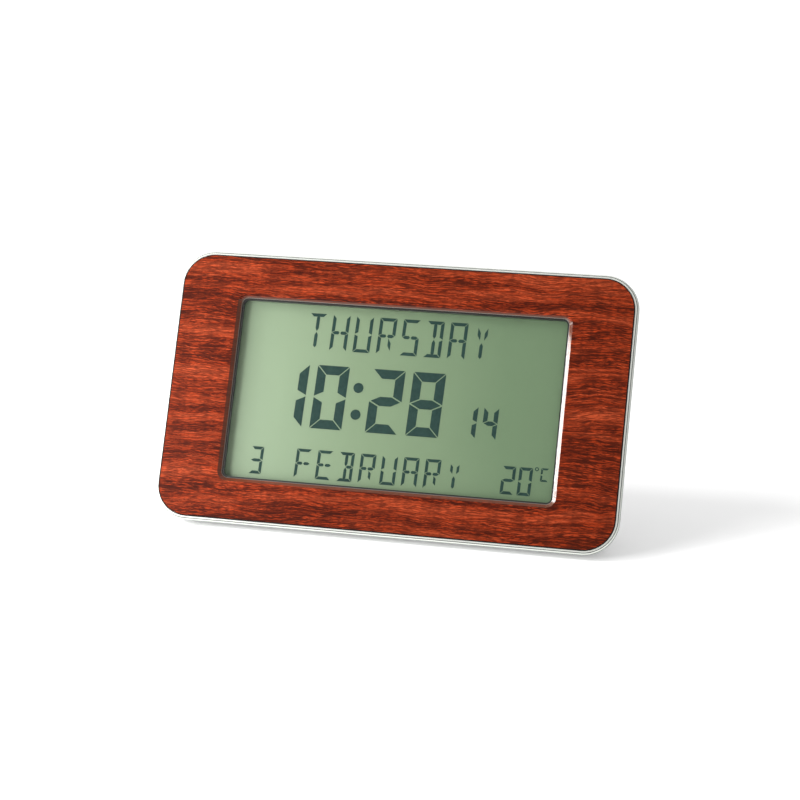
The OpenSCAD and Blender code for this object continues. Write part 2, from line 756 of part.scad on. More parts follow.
// The path of a contact spring, which narrows towards the cell
function coil(l, steps) =
    [for (i = [0:steps])
        let (t = i / steps, a = 360 * spring_turns * t,
            r = spring_wide_r + (spring_narrow_r - spring_wide_r) * t)
        [r * cos(a), l * t, r * sin(a)]];
module battery_springs() {
    coil_l = spring_l - 2 * spring_wire_r - 0.1;
    color("silver") stood() at_bay() for (side = [-1, 1])
        translate([side * cell_dx, side * (bay_l / 2 - contact_t - spring_wire_r), -cell_d])
            rotate(side > 0 ? 180 : 0)
                tube(coil(coil_l, 14 * spring_turns), spring_wire_r, 6, [0, 1, 0]);
}
module cell() {
    translate([0, -cell_l / 2, 0]) rotate([-90, 0, 0]) {
        cylinder(r = cell_r - slide_gap / 2, h = cell_l - nub_h);
        cylinder(r = nub_r, h = cell_l);
    }
}
module battery_cells() {
    color("steelblue") stood() at_bay() for (side = [-1, 1])
        translate([side * cell_dx, -side * (spring_l / 2), -cell_d]) rotate(side > 0 ? 180 : 0) cell();
}
module battery_wire(x, kind) {
    top = bay_l / 2 + bay_wall;
    color(kind) stood() at_bay()
        tube([[x, top, 1 - cell_d], [x, top + 1, 1 - cell_d], [x, top + 3, 2 - cell_d],
            [x - 3, top + 5, -board_back - 3], [x - 6, top + 5, -board_back - 2],
            [x - 7, top + 5, -board_back - 1], [x - 7, top + 5, -board_back]], wire_r, 6, [0.3, 1, 0.1]);
}
module battery_wire_red() battery_wire(-cell_dx, "red");
module battery_wire_black() battery_wire(cell_dx, "black");
// A flush lid with two tabs at its foot, and a springy tongue with grip ribs at its top
module battery_door() {
    color("lightgray") stood() at_bay() difference() {
        union() {
            block(door_w, door_l, back_d - door_t, back_d);
            for (x = [-1, 1]) translate([x * door_tab_x, -door_l / 2 + (door_tab_in - door_tab_out) / 2, 0])
                block(door_tab_w, door_tab_in + door_tab_out, back_d - door_t - door_tab_t, back_d - door_t);
        }
        for (x = [-1, 1])
            translate([x * (door_tongue_w + door_slit) / 2, door_l / 2 - door_tongue_l / 2 + cut, 0])
                block(door_slit, door_tongue_l + 2 * cut, 0, back_d + cut);
        for (i = [0:3]) translate([0, door_l / 2 - 2.5 - grip_pitch * i, 0])
            block(door_tongue_w - 3 - 2 * i, grip_w, back_d - grip_depth, back_d + cut);
    }
}

// ---- The folding leg, drawn folded against the back with its hinge at the origin
module leg_section() {
    heel_z = -(heel_reach - heel_y * cos(leg_open)) / sin(leg_open);
    heel_foot_y = (heel_reach - leg_t * sin(leg_open)) / cos(leg_open);
    circle(r = barrel_r);
    polygon([[heel_y, 0], [heel_y, heel_z], [heel_foot_y, -leg_t], [-toe_l, -leg_t], [-toe_l, 0]]);
}
// Everything lower than a height above the table, once the leg is out
module below(height) {
    reach = 2 * leg_l;
    rotate([-leg_slant, 0, 0]) translate([-reach / 2, height - hinge_height - reach, -reach / 2]) cube(reach);
}
module leg_outline() {
    top = barrel_r + cut;
    polygon(concat([[leg_w / 2, top], [-leg_w / 2, top]],
        arc(toe_r - leg_w / 2, toe_r - toe_l, toe_r, 180, 270),
        arc(leg_w / 2 - toe_r, toe_r - toe_l, toe_r, 270, 360)));
}
module stand_leg() {
    color("lightgray") swung() difference() {
        union() {
            intersection() {
                rotate([90, 0, 90]) linear_extrude(leg_w, center = true) leg_section();
                translate([0, 0, -leg_t - cut]) linear_extrude(leg_t + barrel_r + 2 * cut) leg_outline();
            }
            // Stiffening ribs on the inner face
            for (x = [-1, 0, 1])
                translate([x * (leg_w / 2 - leg_panel_border) - leg_rib_t / 2, leg_rib_end - leg_l, 0])
                    cube([leg_rib_t, leg_l - leg_rib_end - leg_rib_top, leg_rib_h]);
        }
        // A shallow panel sunk in the outer face
        translate([0, -leg_l / 2 - 1, -leg_t - cut]) linear_extrude(cut + leg_panel_depth)
            rounded_rect(leg_w - 2 * leg_panel_border, leg_l - 4 * leg_panel_border, leg_panel_r);
        rotate([0, 90, 0]) cylinder(r = pin_r, h = leg_w + 2 * cut, center = true);
        below(foot_t);
    }
}
module stand_pin() {
    color("silver") swung() rotate([0, 90, 0]) cylinder(r = pin_r, h = pin_l, center = true);
}
module stand_pad() {
    color("dimgray") swung() intersection() {
        translate([-pad_w / 2, -toe_l - cut, -leg_t]) cube([pad_w, toe_r + cut, leg_t]);
        difference() {
            below(foot_t);
            below(0);
        }
    }
}

// ---- The front feet, on the tapered side that is level with the table
module front_feet() {
    color("dimgray") for (x = [-1, 1])
        translate([x * foot_x, foot_y, 0]) cylinder(r = foot_r, h = foot_t);
}

front_bezel();
wood_panel();
display_lens();
front_polariser();
front_glass();
rear_glass();
rear_reflector();
display_holder();
zebra_strips();
main_board();
main_board_screws();
chip_blob();
quartz_crystal();
board_components();
temperature_sensor();
ribbon_cable();
button_board();
button_board_screws();
tact_switches();
slide_switch();
slider_lever();
slider_knob();
mode_button();
set_button();
up_button();
down_button();
piezo_buzzer();
buzzer_wires();
rear_case();
case_screws();
battery_contacts();
battery_springs();
battery_cells();
battery_wire_red();
battery_wire_black();
battery_door();
stand_leg();
stand_pin();
stand_pad();
front_feet();
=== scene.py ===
"""A leaning desk clock: liquid-crystal display behind a clear lens, wood-grain face in a thin silver rim,
moulded rear case with a folding leg, battery door and buttons. Lengths are in metres, in the frame's axes."""
import math

import bpy
import numpy as np
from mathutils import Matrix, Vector


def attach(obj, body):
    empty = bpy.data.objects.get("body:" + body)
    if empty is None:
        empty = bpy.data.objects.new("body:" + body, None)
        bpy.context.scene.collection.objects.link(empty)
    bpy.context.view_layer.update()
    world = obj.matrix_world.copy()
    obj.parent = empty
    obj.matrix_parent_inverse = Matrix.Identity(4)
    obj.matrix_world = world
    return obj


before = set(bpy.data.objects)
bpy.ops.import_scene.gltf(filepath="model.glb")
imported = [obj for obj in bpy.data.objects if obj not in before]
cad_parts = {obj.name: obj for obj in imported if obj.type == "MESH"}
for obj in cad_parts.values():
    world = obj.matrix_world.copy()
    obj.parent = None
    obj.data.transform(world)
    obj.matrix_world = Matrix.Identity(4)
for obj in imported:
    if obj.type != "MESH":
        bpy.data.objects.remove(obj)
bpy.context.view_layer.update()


# The wood panel is a flat board covered in a wood-grain foil under satin lacquer, set in the silver rim.
# Its window has a chamfered edge with a thicker, glossy lacquer. The board is glued to the bezel's plate.
def axes_of_face(lean):
    """The face's three directions, for a lean back from upright: to the right, up the face, and out of it."""
    return np.array([1, 0, 0]), np.array([0, math.sin(lean), math.cos(lean)]), \
        np.array([0, -math.cos(lean), math.sin(lean)])


lean = math.radians(29)
right, up, out = axes_of_face(lean)


def reach(node_name, direction):
    """The lowest and the highest place of a node along a direction."""
    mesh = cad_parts[node_name].data
    places = np.empty(len(mesh.vertices) * 3)
    mesh.vertices.foreach_get("co", places)
    along = places.reshape(-1, 3) @ direction
    return along.min(), along.max()


def add(tree, kind, inputs, **settings):
    """A shader node with its settings. Each input is a plain value, or a socket to link from."""
    node = tree.nodes.new("ShaderNode" + kind)
    for name, value in settings.items():
        setattr(node, name, value)
    for name, value in inputs.items():
        socket = node.inputs[name]
        if isinstance(value, bpy.types.NodeSocket):
            tree.links.new(value, socket)
        else:
            socket.default_value = value
    return node


def mixed(tree, share, first, second, blend_type="MIX"):
    """Two colours mixed by a share."""
    node = tree.nodes.new("ShaderNodeMix")
    node.data_type, node.blend_type = "RGBA", blend_type
    for index, value in ((0, share), (6, first), (7, second)):
        if isinstance(value, bpy.types.NodeSocket):
            tree.links.new(value, node.inputs[index])
        else:
            node.inputs[index].default_value = value if index == 0 else (*value, 1)
    return node.outputs[2]


def ramp(tree, value, *stops):
    """A colour for each value: stops are (place, colour) pairs, and a single number is a grey."""
    node = add(tree, "ValToRGB", {"Fac": value})
    colours = node.color_ramp.elements
    while len(colours) < len(stops):
        colours.new(0.5)
    for element, (place, colour) in zip(colours, stops):
        element.position = place
        element.color = (*colour, 1) if isinstance(colour, tuple) else (colour, colour, colour, 1)
    return node.outputs["Color"]


def calc(tree, operation, first, second=0.0, clamp=False):
    """One step of arithmetic on values."""
    node = tree.nodes.new("ShaderNodeMath")
    node.operation, node.use_clamp = operation, clamp
    for socket, value in zip(node.inputs, (first, second)):
        if isinstance(value, bpy.types.NodeSocket):
            tree.links.new(value, socket)
        else:
            socket.default_value = value
    return node.outputs[0]


def line_through(tree, value, slope, start):
    """A value times a slope, plus a start."""
    return calc(tree, "ADD", calc(tree, "MULTIPLY", value, slope), start)


def on_face(tree, scale=(1, 1, 1)):
    """Object coordinates turned into the face's own: to the right, up the face, and out of it."""
    place = add(tree, "TexCoord", {}).outputs["Object"]
    turned = add(tree, "Mapping", {"Vector": place, "Rotation": (lean - math.pi / 2, 0, 0)})
    return add(tree, "Mapping", {"Vector": turned.outputs[0], "Scale": scale}).outputs[0]


def noise(tree, place, scale, detail=2.0, roughness=0.5, distortion=0.0):
    """Soft noise whose features are about 1 / scale wide."""
    return add(tree, "TexNoise", {"Vector": place, "Scale": scale, "Detail": detail, "Roughness": roughness,
                                  "Distortion": distortion}).outputs["Fac"]


def bumped(tree, height, distance, strength=1.0):
    """A normal from a height."""
    return add(tree, "Bump", {"Height": height, "Distance": distance, "Strength": strength}).outputs["Normal"]


def finish_of(name, colour, roughness, metallic=0.0, **constant):
    """A material with one Principled shader, whose constant values are set on its own sockets."""
    made = bpy.data.materials.new(name)
    made.use_nodes = True
    made.diffuse_color = (*colour, 1)
    shader = made.node_tree.nodes["Principled BSDF"]
    values = {"Base Color": (*colour, 1), "Roughness": roughness, "Metallic": metallic}
    values.update({words.replace("_", " ").title().replace("Ior", "IOR"): v for words, v in constant.items()})
    for socket, value in values.items():
        shader.inputs[socket].default_value = value
    return made, made.node_tree, shader


def feed(tree, shader, **sources):
    """Links what changes over the surface to the shader's sockets."""
    for words, source in sources.items():
        tree.links.new(source, shader.inputs[words.replace("_", " ").title()])


def dress(node_name, made):
    """Gives a CAD node its material."""
    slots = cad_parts[node_name].data.materials
    slots.clear()
    slots.append(made)


def from_rim(tree, half_width, half_height, radius):
    """How far a point lies inside a rounded rectangle centred on the face: the radius, less the length of
    what is left of the point's two distances once the straight part is taken off."""
    place = add(tree, "VectorMath", {0: on_face(tree), 1: (0, -panel_middle, 0)}).outputs[0]
    parted = add(tree, "SeparateXYZ", {"Vector": place})
    beyond = [calc(tree, "MAXIMUM", calc(tree, "SUBTRACT", calc(tree, "ABSOLUTE", parted.outputs[axis]),
                                         half - radius), 0.0)
              for axis, half in (("X", half_width), ("Y", half_height))]
    length = calc(tree, "SQRT", calc(tree, "ADD", calc(tree, "MULTIPLY", beyond[0], beyond[0]),
                                     calc(tree, "MULTIPLY", beyond[1], beyond[1])))
    return calc(tree, "SUBTRACT", radius, length)


def depth_in_face(tree):
    """How far a point lies behind the wood panel's front."""
    ahead = add(tree, "SeparateXYZ", {"Vector": on_face(tree)}).outputs["Z"]
    return calc(tree, "SUBTRACT", panel_front, ahead)


def turned_from(tree, way):
    """One where the surface faces against a direction: the normal's share along it is below -0.3."""
    normal = add(tree, "NewGeometry", {}).outputs["True Normal"]
    share = add(tree, "VectorMath", {0: normal, 1: tuple(way)}, operation="DOT_PRODUCT").outputs["Value"]
    return calc(tree, "LESS_THAN", share, -0.3)


panel_front = reach("wood_panel", out)[1]
panel_middle = sum(reach("wood_panel", up)) / 2
panel_half = reach("wood_panel", right)[1], np.ptp(reach("wood_panel", up)) / 2
panel_corner = 0.0125
foil_thickness, foil_turned_in, gap_shade_width = 0.00004, 0.0007, 0.00022
highlight_start, highlight_end = 0.00135, 0.00175
grain_dark = (0.115, 0.013, 0.004)
grain_red = (0.318, 0.035, 0.008)
grain_orange = (0.420, 0.064, 0.021)
pore_brown = (0.036, 0.006, 0.003)
edge_brown = (0.095, 0.030, 0.015)
painted_highlight_grey = (0.12, 0.10, 0.085)
painted_gap_shade_black = (0.010, 0.008, 0.008)
wood, tree, shader = finish_of("wood_face", grain_red, 0.34, coat_roughness=0.12, specular_ior_level=0.05)
# The grain runs along the face. Its lines wander up and down a little over a few centimetres.
wander_height, ripple_height = 0.009, 0.0012
wander = noise(tree, on_face(tree, (0.55, 1, 1)), 30, 2)
lift = calc(tree, "MULTIPLY", calc(tree, "SUBTRACT", wander, 0.5), wander_height)
ripple = noise(tree, on_face(tree, (0.6, 1, 1)), 240, 2)
lift = calc(tree, "ADD", lift, calc(tree, "MULTIPLY", calc(tree, "SUBTRACT", ripple, 0.5), ripple_height))
bent = add(tree, "VectorMath", {0: on_face(tree), 1: add(tree, "CombineXYZ", {"Y": lift}).outputs[0]})
long, short = [add(tree, "Mapping", {"Vector": bent.outputs[0], "Scale": (x, 1, 0)}).outputs[0]
               for x in (0.06, 0.12)]
band_share = 0.55
bands = noise(tree, long, 150, 3, 0.6)
streaks = noise(tree, long, 900, 3, 0.6)
tone = calc(tree, "ADD", calc(tree, "MULTIPLY", bands, band_share),
            calc(tree, "MULTIPLY", streaks, 1 - band_share))
grain = ramp(tree, tone, (0.36, grain_dark), (0.47, grain_red), (0.60, grain_orange))
# Thin dark lines, broken and wavy, lie where a stretched noise crosses its middle value. They are stronger
# in the dark bands.
in_band = ramp(tree, bands, (0.42, 1.0), (0.58, 0.66))
thin_lines = (long, 1500, 0.105, 0.95), (short, 2500, 0.12, 0.80)
for place, scale, half_width, strength in thin_lines:
    crossing = calc(tree, "ABSOLUTE", calc(tree, "SUBTRACT", noise(tree, place, scale, 2, 0.45), 0.5))
    line = ramp(tree, crossing, (half_width * 0.25, strength), (half_width, 0.0))
    grain = mixed(tree, calc(tree, "MULTIPLY", line, in_band), grain, pore_brown)
# Behind the front lies the cut edge: darker, and glossy with lacquer that has run over it. A fine grey line at
# the chamfer's foot is a painted highlight, and a near-black line along the panel's outline is painted shade
# in the gap beside the rim. Over the window's upper edge the foil turns in before it ends, and on the window's
# right edge the lacquer is thickest.
depth = depth_in_face(tree)
underside, right_side = [turned_from(tree, way) for way in (up, right)]
cut_edge = calc(tree, "GREATER_THAN", depth, line_through(tree, underside, foil_turned_in, foil_thickness))
grain = mixed(tree, calc(tree, "MULTIPLY", cut_edge, 0.8), grain, edge_brown)
painted_highlight = calc(tree, "MULTIPLY", calc(tree, "GREATER_THAN", depth, highlight_start),
              calc(tree, "LESS_THAN", depth, highlight_end))
grain = mixed(tree, painted_highlight, grain, painted_highlight_grey)
# A near-black line is painted along the panel's outline: painted shade in the gap between the panel and the
# rim.
outline = calc(tree, "LESS_THAN", from_rim(tree, *panel_half, panel_corner), gap_shade_width)
grain = mixed(tree, outline, grain, painted_gap_shade_black)
gloss = calc(tree, "MULTIPLY", cut_edge, calc(tree, "SUBTRACT", 1.0, outline))
satin = line_through(tree, tone, 0.16, 0.32)
polish = calc(tree, "SUBTRACT", 1.0, calc(tree, "MULTIPLY", gloss, 0.6))
lacquer = calc(tree, "MULTIPLY", gloss, line_through(tree, right_side, 0.48, 0.5))
feed(tree, shader, base_color=grain, roughness=calc(tree, "MULTIPLY", satin, polish),
     coat_weight=calc(tree, "ADD", 0.02, lacquer), normal=bumped(tree, tone, 0.00012, 0.35))
dress("wood_panel", wood)


# The silver rim is the edge of the front bezel, moulded in plastic and sprayed with a satin silver paint.
# The bezel's plate behind the wood carries the display and shows as a thin lip inside the window.
def new_group(name, inputs, outputs):
    """An empty group of shader nodes: inputs are (name, value) pairs, outputs are (name, socket type)."""
    group = bpy.data.node_groups.new(name, "ShaderNodeTree")
    for title, value in inputs:
        kind = "NodeSocketVector" if value is None else "NodeSocketFloat"
        socket = group.interface.new_socket(title, in_out="INPUT", socket_type=kind)
        if value is not None:
            socket.default_value = value
    for title, kind in outputs:
        group.interface.new_socket(title, in_out="OUTPUT", socket_type=kind)
    return group, group.nodes.new("NodeGroupInput"), group.nodes.new("NodeGroupOutput")


def make_edge_wear():
    """Edges are where the rounded normal parts from the true one: one less their dot product, made steep."""
    group, given, result = new_group("edge_wear", [("Radius", 0.0005), ("Amount", 1.0)],
                                     [("Mask", "NodeSocketFloat")])
    soft = add(group, "Bevel", {"Radius": given.outputs["Radius"]}, samples=4)
    true = add(group, "NewGeometry", {})
    both = add(group, "VectorMath", {0: soft.outputs[0], 1: true.outputs["Normal"]}, operation="DOT_PRODUCT")
    edge = calc(group, "MULTIPLY", calc(group, "SUBTRACT", 1.0, both.outputs["Value"]), 9.0, clamp=True)
    group.links.new(calc(group, "MULTIPLY", edge, given.outputs["Amount"]), result.inputs["Mask"])
    return group


def make_moulded_skin():
    """A spark-eroded mould leaves fine pits, which are two noises added. Handling leaves soft smudges."""
    group, given, result = new_group("moulded_skin", [("Vector", None), ("Pits", 3500.0), ("Smudges", 45.0)],
                                     [("Height", "NodeSocketFloat"), ("Smudge", "NodeSocketFloat")])
    fine = noise(group, given.outputs["Vector"], given.outputs["Pits"], 2, 0.6)
    coarse = noise(group, given.outputs["Vector"], calc(group, "MULTIPLY", given.outputs["Pits"], 0.37), 1)
    smudge = noise(group, given.outputs["Vector"], given.outputs["Smudges"], 3, 0.6, 0.4)
    group.links.new(calc(group, "MULTIPLY", calc(group, "ADD", fine, coarse), 0.5), result.inputs["Height"])
    group.links.new(smudge, result.inputs["Smudge"])
    return group


edge_wear = make_edge_wear()
moulded_skin = make_moulded_skin()


def grouped(tree, group, **inputs):
    """A group placed in a material with its own values."""
    node = tree.nodes.new("ShaderNodeGroup")
    node.node_tree = group
    for title, value in inputs.items():
        socket = node.inputs[title.title()]
        if isinstance(value, bpy.types.NodeSocket):
            tree.links.new(value, socket)
        else:
            socket.default_value = value
    return node.outputs


def object_place(tree):
    """The object's own coordinates."""
    return add(tree, "TexCoord", {}).outputs["Object"]


silver_paint = (0.66, 0.68, 0.63)
bare_plastic = (0.020, 0.021, 0.020)
silver, tree, shader = finish_of("silver_rim", silver_paint, 0.30, 0.4)
skin = grouped(tree, moulded_skin, vector=object_place(tree), pits=9000.0, smudges=30.0)
flakes = add(tree, "TexVoronoi", {"Vector": object_place(tree), "Scale": 7000.0}).outputs["Color"]
sparkle = calc(tree, "MULTIPLY", add(tree, "SeparateColor", {"Color": flakes}).outputs["Red"], 0.12)
worn = grouped(tree, edge_wear, radius=0.0003, amount=0.35)["Mask"]
paint = mixed(tree, sparkle, silver_paint, (0.86, 0.87, 0.85))
# Only the rim is painted. Inside the wood panel's outline the black plastic is left bare.
overspray = 0.0001
unpainted = calc(tree, "GREATER_THAN", from_rim(tree, *panel_half, panel_corner), -overspray)
paint = mixed(tree, worn, paint, (0.80, 0.81, 0.79))
# The groove that runs round the rim's front edge is painted dark: painted shade.
rim_width, groove_in, groove_half, front_depth = 0.0018, 0.00075, 0.00014, 0.001
across_rim = from_rim(tree, *[half + rim_width for half in panel_half], panel_corner + rim_width)
off_groove = calc(tree, "ABSOLUTE", calc(tree, "SUBTRACT", across_rim, groove_in))
groove_shade = calc(tree, "MULTIPLY", calc(tree, "LESS_THAN", off_groove, groove_half),
                 calc(tree, "LESS_THAN", depth_in_face(tree), front_depth))
paint = mixed(tree, calc(tree, "MULTIPLY", groove_shade, 0.9), paint, (0.06, 0.08, 0.07))
# The rim's side is painted a little darker than its front: painted shade, for the shadowed floor that it
# mirrors.
side_shade_width = 0.00016
painted_side_shade = calc(tree, "LESS_THAN", across_rim, side_shade_width)
paint = mixed(tree, calc(tree, "MULTIPLY", painted_side_shade, 0.8), paint, (0.22, 0.26, 0.23))
feed(tree, shader, base_color=mixed(tree, unpainted, paint, bare_plastic),
     metallic=calc(tree, "MULTIPLY", calc(tree, "SUBTRACT", 1.0, unpainted), 0.4),
     roughness=line_through(tree, skin["Smudge"], 0.12, 0.24),
     normal=bumped(tree, skin["Height"], 0.00001, 0.5))
dress("front_bezel", silver)


# The display lens is a flat sheet of clear acrylic with hard-coated, polished faces, dropped into the bezel.
clear, tree, shader = finish_of("clear_lens", (0.97, 0.98, 0.97), 0.03, 1.0)
# From inside the sheet the index is turned over, so that light leaving it is not held back.
inside = add(tree, "NewGeometry", {}).outputs["Backfacing"]
acrylic_index = 1.49
index = calc(tree, "POWER", acrylic_index, calc(tree, "SUBTRACT", 1.0, calc(tree, "MULTIPLY", inside, 2.0)))
glint = add(tree, "Fresnel", {"IOR": index}).outputs[0]
haze = grouped(tree, moulded_skin, vector=on_face(tree), pits=400.0, smudges=35.0)["Smudge"]
feed(tree, shader, alpha=calc(tree, "ADD", glint, 0.006),
     roughness=line_through(tree, haze, 0.05, 0.015))
dress("display_lens", clear)


# The liquid-crystal display is two glasses with the crystal between them and a polariser film in front.
# Seen through them, the reflector behind has a fine grain. At rest it is a soft grey-green.
film_green = (0.210, 0.290, 0.175)
painted_light_stops = ((0.22, (0.150, 0.222, 0.128)), (0.52, (0.212, 0.288, 0.176)), (0.80, (0.288, 0.370, 0.252)))
film, tree, shader = finish_of("display_film", film_green, 0.55, specular_ior_level=0.1)
speckle = noise(tree, on_face(tree), 5200, 2, 0.7)
cloud = noise(tree, on_face(tree, (1, 0.8, 1)), 14, 2)
# Painted light: the film is painted lighter towards the lower left and darker towards the upper right, as the
# light from the left falls off across it.
beside = add(tree, "SeparateXYZ", {"Vector": on_face(tree)})
slanted = calc(tree, "ADD", beside.outputs["X"], calc(tree, "MULTIPLY", beside.outputs["Y"], 0.25))
clouded = calc(tree, "MULTIPLY", calc(tree, "SUBTRACT", cloud, 0.5), 0.12)
painted_light_and_cloud = calc(tree, "ADD", line_through(tree, slanted, -5.0, 0.5), clouded)
green = ramp(tree, painted_light_and_cloud, *painted_light_stops)
grain = line_through(tree, speckle, 0.14, 0.93)
feed(tree, shader, base_color=mixed(tree, grain, (0.0, 0.0, 0.0), green),
     normal=bumped(tree, speckle, 0.00001, 0.3))
dress("front_polariser", film)

glass, tree, shader = finish_of("display_glass", (0.45, 0.55, 0.45), 0.05, ior=1.52, alpha=0.6)
streaked = noise(tree, on_face(tree), 60, 2)
feed(tree, shader, roughness=line_through(tree, streaked, 0.05, 0.03))
dress("front_glass", glass)
dress("rear_glass", glass)

reflector, tree, shader = finish_of("reflector", (0.72, 0.74, 0.70), 0.38, 0.7)
feed(tree, shader, normal=bumped(tree, noise(tree, on_face(tree), 4200, 2), 0.00002))
dress("rear_reflector", reflector)


# The lit segments are shapes etched in the display's clear electrodes, which turn dark over the reflector.
# They stand here as thin plates on the film: seven strokes for a figure, fourteen for a letter.
def strokes_of_figure(width, height, stroke, gap):
    """Strokes a to g of a figure, each an outline: mitred at the corners at 45 degrees, and at the middle
    along lines that rise half a stroke in a stroke's width. Neighbours are a gap apart. The rest are mirror
    images."""
    middle, flip_x, flip_y = height / 2, np.array([-1, 1]), np.array([1, -1])
    top = np.array([(gap, height), (width - gap, height),
                    (width - stroke - gap, height - stroke), (stroke + gap, height - stroke)])
    side = np.array([(width, height - gap), (width - stroke, height - stroke - gap),
                     (width - stroke, middle + stroke / 2 + gap), (width, middle + gap)])
    bar = np.array([(2 * gap, 0), (stroke + 2 * gap, stroke / 2), (width - stroke - 2 * gap, stroke / 2),
                    (width - 2 * gap, 0), (width - stroke - 2 * gap, -stroke / 2),
                    (stroke + 2 * gap, -stroke / 2)]) + (0, middle)
    over, across = np.array([0, height]), np.array([width, 0])
    return {"a": top, "b": side, "c": side * flip_y + over, "d": top * flip_y + over,
            "e": side * flip_x * flip_y + over + across, "f": side * flip_x + across, "g": bar}


def strokes_of_letter(width, height, stroke, gap):
    """A figure's outer strokes, with the bar halved into g and j, uprights i and l on the middle line, and
    slanting strokes h, k, m and n from the corners to the middle. Slanting ones are sheared bars."""
    made = strokes_of_figure(width, height, stroke, gap)
    half, middle, flip_x, flip_y = width / 2, height / 2, np.array([-1, 1]), np.array([1, -1])
    over, across = np.array([0, height]), np.array([width, 0])
    made["g"] = np.array([(2 * gap, 0), (stroke, stroke / 2), (half - stroke / 2, stroke / 2), (half - gap, 0),
                          (half - stroke / 2, -stroke / 2), (stroke, -stroke / 2)]) + (0, middle)
    made["i"] = np.array([(half - stroke / 2, height - stroke - 2 * gap), (half, height - stroke * 0.6),
                          (half + stroke / 2, height - stroke - 2 * gap),
                          (half + stroke / 2, middle + stroke), (half, middle + gap),
                          (half - stroke / 2, middle + stroke)])
    tall = 2.4 * stroke
    made["h"] = np.array([(stroke + gap, height - stroke - gap), (stroke + gap, height - stroke - tall),
                          (half - stroke / 2 - gap, middle + stroke / 2 + gap),
                          (half - stroke / 2 - gap, middle + stroke / 2 + tall)])
    made["l"] = made["i"] * flip_y + over
    made["j"] = made["g"] * flip_x + across
    made["k"] = made["h"] * flip_x + across
    made["n"] = made["h"] * flip_y + over
    made["m"] = made["h"] * flip_x * flip_y + over + across
    return made


FIGURES = {"0": "abcdef", "1": "bc", "2": "abged", "3": "abgcd", "4": "fgbc", "8": "abcdefg", "C": "afed"}
LETTERS = {"A": "abcefgj", "B": "abcdjil", "D": "abcdil", "E": "adefgj", "F": "aefgj", "H": "bcefgj",
           "R": "abefgjm", "S": "acdfgj", "T": "ail", "U": "bcdef", "Y": "hkl"}
film_front = reach("front_polariser", out)[1]
face_middle = panel_middle * up
segment_thickness = 0.00006
segment_slant = 0.03
display_shift = -0.0012, 0.0007


def write(text, shapes, x, y, width, height, stroke, gap, pitch):
    """The outlines of a line of text, from the place of its lower left corner on the face. A glyph is its
    strokes, moved along by the pitch and sheared by the slant."""
    strokes = (strokes_of_letter if shapes is LETTERS else strokes_of_figure)(width, height, stroke, gap)
    shear = np.array([[1, 0], [segment_slant, 1]])
    return [strokes[s] @ shear + (x + i * pitch, y) for i, glyph in enumerate(text) for s in shapes[glyph]]


def disc(x, y, radius, hole=0.0, start=0.0, turn=2 * math.pi):
    """Points round an arc, and back along a smaller one where there is a hole."""
    angles = np.linspace(start, start + turn, 25)
    ring = np.stack([np.cos(angles), np.sin(angles)], 1)
    outline = np.concatenate([radius * ring, hole * ring[::-1]]) if hole else radius * ring[:-1]
    return outline + (x, y)


def plates_on_face(name, outlines, front, thickness, made):
    """Outlines on the face made solid: each is a ring of points at the front and the same ring further back,
    joined by a front, a back and four-sided walls."""
    points, faces, count = [], [], 0
    for outline in outlines:
        following = np.roll(outline, -1, 0)
        turned = np.sum(outline[:, 0] * following[:, 1] - following[:, 0] * outline[:, 1])
        ring = (outline if turned > 0 else outline[::-1]) + display_shift
        flat = face_middle + ring[:, :1] * right + ring[:, 1:] * up + front * out
        points += [flat, flat - thickness * out]
        n, index = len(ring), count + np.arange(len(ring))
        beyond = count + (np.arange(n) + 1) % n
        faces += [index.tolist(), (index[::-1] + n).tolist()]
        faces += np.stack([index, index + n, beyond + n, beyond], 1).tolist()
        count += 2 * n
    mesh = bpy.data.meshes.new(name)
    mesh.from_pydata(np.concatenate(points).tolist(), [], faces)
    mesh.materials.append(made)
    piece = bpy.data.objects.new(name, mesh)
    bpy.context.scene.collection.objects.link(piece)
    return piece


ink, tree, shader = finish_of("segment_ink", (0.021, 0.049, 0.042), 0.5, specular_ior_level=0.1)
uneven = noise(tree, on_face(tree), 900, 2)
feed(tree, shader, base_color=ramp(tree, uneven, (0.3, (0.018, 0.043, 0.037)), (0.7, (0.024, 0.055, 0.047))))
# Each line of text has the place of its lower left corner, then the width, height, stroke, gap and pitch.
small = {"stroke": 0.00122, "gap": 0.00015}
big = {"width": 0.0134, "height": 0.0262, "stroke": 0.0038, "gap": 0.00028}
time_y = -0.0147
hours = write("10", FIGURES, -0.0500, time_y, pitch=0.0168, **big)
minutes = write("28", FIGURES, -0.0100, time_y, pitch=0.0167, **big)
colon = [disc(-0.0146, y, 0.0021) for y in (0.0032, -0.0078)]
rows = {
    "lcd_weekday": write("THURSDAY", LETTERS, -0.0385, 0.0178, 0.0071, 0.0150, 0.00135, 0.00015, 0.0098),
    "lcd_time": hours + colon + minutes,
    "lcd_seconds": write("14", FIGURES, 0.0290, -0.0138, 0.0060, 0.0130, 0.0018, 0.00020, 0.0084),
    "lcd_date": write("3", FIGURES, -0.0564, -0.0351, 0.0052, 0.0112, pitch=0, **small),
    "lcd_month": write("FEBRUARY", LETTERS, -0.0374, -0.0353, 0.0063, 0.0119, pitch=0.0089, **small),
    "lcd_temperature": write("20", FIGURES, 0.0472, -0.0350, 0.0054, 0.0113, pitch=0.0068, **small)
    + write("C", FIGURES, 0.0628, -0.0288, 0.0032, 0.0054, 0.00075, 0.00010, 0)
    + [disc(0.0612, -0.0240, 0.0008, 0.00042, start, math.pi) for start in (0.0, math.pi)],
}
for name, outlines in rows.items():
    piece = plates_on_face(name, outlines, film_front + segment_thickness * 0.8, segment_thickness, ink)
    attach(piece, "case")


